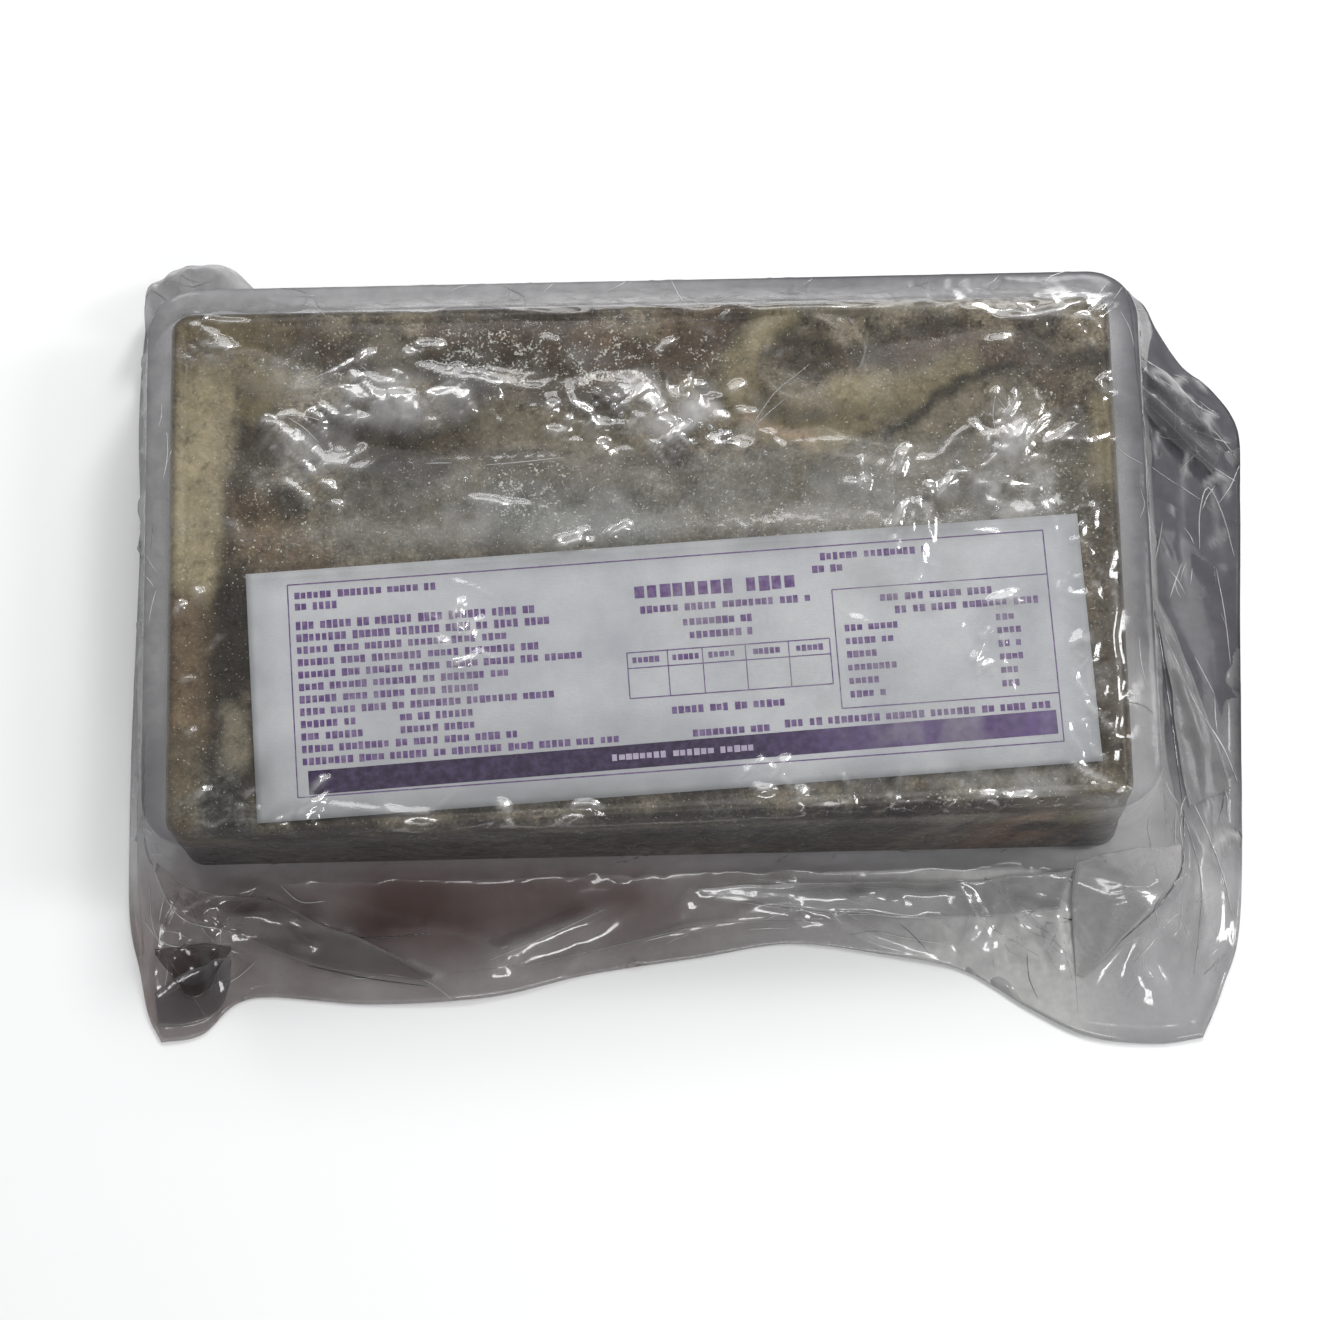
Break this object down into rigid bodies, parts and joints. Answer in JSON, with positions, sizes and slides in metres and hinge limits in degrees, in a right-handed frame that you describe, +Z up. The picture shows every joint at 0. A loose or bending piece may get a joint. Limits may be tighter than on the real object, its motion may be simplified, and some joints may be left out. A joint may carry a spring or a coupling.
{
  "type": "frozen octopus block in a clear bag",
  "caption": "Flat rectangular slab of whole octopus frozen in ice, with a paper label lying on it, inside a loose clear plastic bag.",
  "frame": {"origin": "on the table, under the middle of the whole bag's plan box", "axes": "+X along the slab, to the reader's right of the label; +Y away from the loose open front of the bag; +Z up"},
  "size_m": [0.3444, 0.2448, 0.0477],
  "materials": {
    "frozen_octopus": "satin",
    "label_paper": "matte",
    "clear_film": "gloss"
  },
  "bodies": {
    "root": {"octopus_block": "frozen_octopus", "label": "label_paper", "bag": "clear_film"}
  },
  "joints": []
}
